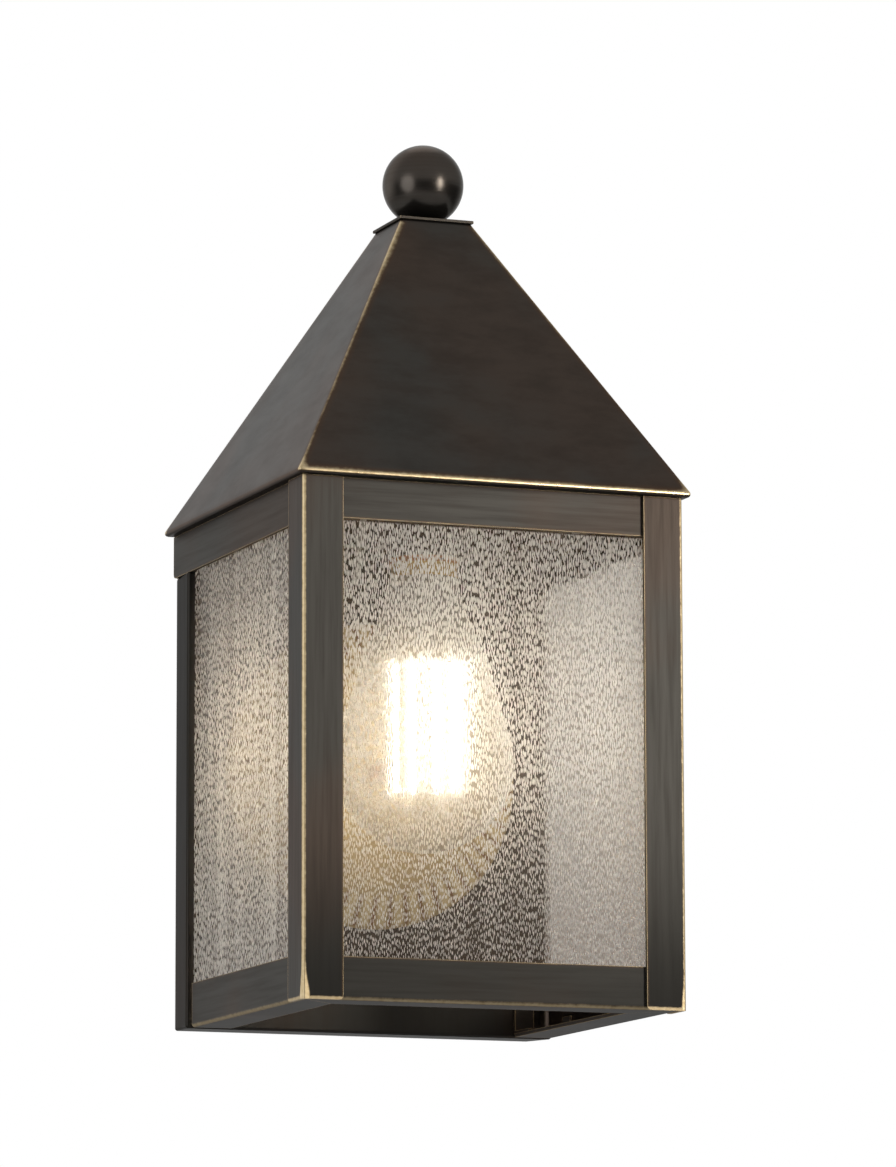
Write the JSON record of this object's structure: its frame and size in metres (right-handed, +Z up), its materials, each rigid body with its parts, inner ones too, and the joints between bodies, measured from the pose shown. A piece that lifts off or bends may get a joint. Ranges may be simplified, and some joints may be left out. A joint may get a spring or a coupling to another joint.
{
  "type": "wall lantern",
  "caption": "Square wall lantern with seeded glass panes, a hipped roof with a ball finial, a screw-in bulb and a fluted reflector on its back pan.",
  "frame": {"origin": "on the wall plane, midway between the two outlet box slots", "axes": "+X to the lantern's right seen from the front, +Y into the wall, +Z up; the front faces -Y"},
  "size_m": [0.1572, 0.1554, 0.3403],
  "materials": {
    "aged_bronze": "dark aged bronze patina, rubbed through to brass at the edges, satin",
    "seeded_glass": "clear, full of fine seeds",
    "reflector_brass": "golden, satin, lacquered",
    "plain_brass": "plain, turned or drawn",
    "copper_alloy": "drawn, coppery",
    "zinc_steel": "bright zinc plating",
    "green_steel": "green",
    "phenolic": "dark moulded phenolic",
    "black_rubber": "matt, closed-cell or moulded",
    "terminal_plastic": "matt",
    "black_insulation": "smooth",
    "white_insulation": "smooth",
    "bulb_clear_glass": "clear, blown",
    "base_glass": "black vitrite",
    "solder": "solder dome",
    "support_wire": "drawn wire",
    "lit_filament": "lit, glowing warm"
  },
  "bodies": {
    "lantern": {"back_pan": "aged_bronze", "black_lead": "black_insulation", "block_screws": "zinc_steel", "front_bottom_rail": "aged_bronze", "front_glass": "seeded_glass", "front_glass_clips": "aged_bronze", "front_left_post": "aged_bronze", "front_right_post": "aged_bronze", "front_top_rail": "aged_bronze", "ground_screw": "green_steel", "lamp_pipe": "plain_brass", "left_bottom_rail": "aged_bronze", "left_glass": "seeded_glass", "left_glass_clips": "aged_bronze", "left_top_rail": "aged_bronze", "mounting_crossbar": "zinc_steel", "mounting_studs": "zinc_steel", "pan_grommet": "black_rubber", "pipe_nuts": "plain_brass", "rail_brackets": "aged_bronze", "rear_top_rail": "aged_bronze", "reflector_dish": "reflector_brass", "reflector_screw": "reflector_brass", "reflector_standoff": "plain_brass", "right_bottom_rail": "aged_bronze", "right_glass": "seeded_glass", "right_glass_clips": "aged_bronze", "right_top_rail": "aged_bronze", "roof_cap_plate": "aged_bronze", "roof_shell": "aged_bronze", "socket_body": "phenolic", "socket_cap": "zinc_steel", "socket_centre_contact": "plain_brass", "socket_lead_bushing": "black_rubber", "socket_lugs": "plain_brass", "socket_screw_shell": "copper_alloy", "socket_strap": "zinc_steel", "strap_screws": "zinc_steel", "stud_front_nuts": "zinc_steel", "stud_lock_nuts": "zinc_steel", "terminal_block": "terminal_plastic", "wall_gasket": "black_rubber", "white_lead": "white_insulation"},
    "bulb_carriage": {"bulb_tip_contact": "solder"},
    "bulb": {"bulb_glass": "bulb_clear_glass", "bulb_screw_base": "plain_brass", "bulb_base_insulator": "base_glass", "bulb_stem": "bulb_clear_glass", "bulb_support_wires": "support_wire", "bulb_filaments": "lit_filament"},
    "finial_carriage": {"finial_seal": "black_rubber"},
    "finial": {"finial_ball": "aged_bronze"}
  },
  "joints": [
    {"name": "bulb_travel", "type": "slide", "parent": "lantern", "child": "bulb_carriage", "axis": [0, 0, -1], "range_m": [0, 0.01634]},
    {"name": "bulb_turn", "type": "hinge", "parent": "bulb_carriage", "child": "bulb", "pos_m": [0, -0.0783, 0], "axis": [0, 0, -1], "range_deg": [0, 1620]},
    {"name": "finial_travel", "type": "slide", "parent": "lantern", "child": "finial_carriage", "axis": [0, 0, 1], "range_m": [0, 0.008]},
    {"name": "finial_turn", "type": "hinge", "parent": "finial_carriage", "child": "finial", "pos_m": [0, -0.0783, 0.22], "axis": [0, 0, 1], "range_deg": [0, 3062]}
  ],
  "couplings": [
    {"joint": "bulb_travel", "follows": "bulb_turn", "m_per_rad": 0.00057757},
    {"joint": "finial_turn", "follows": "finial_travel", "rad_per_m": 6679}
  ]
}
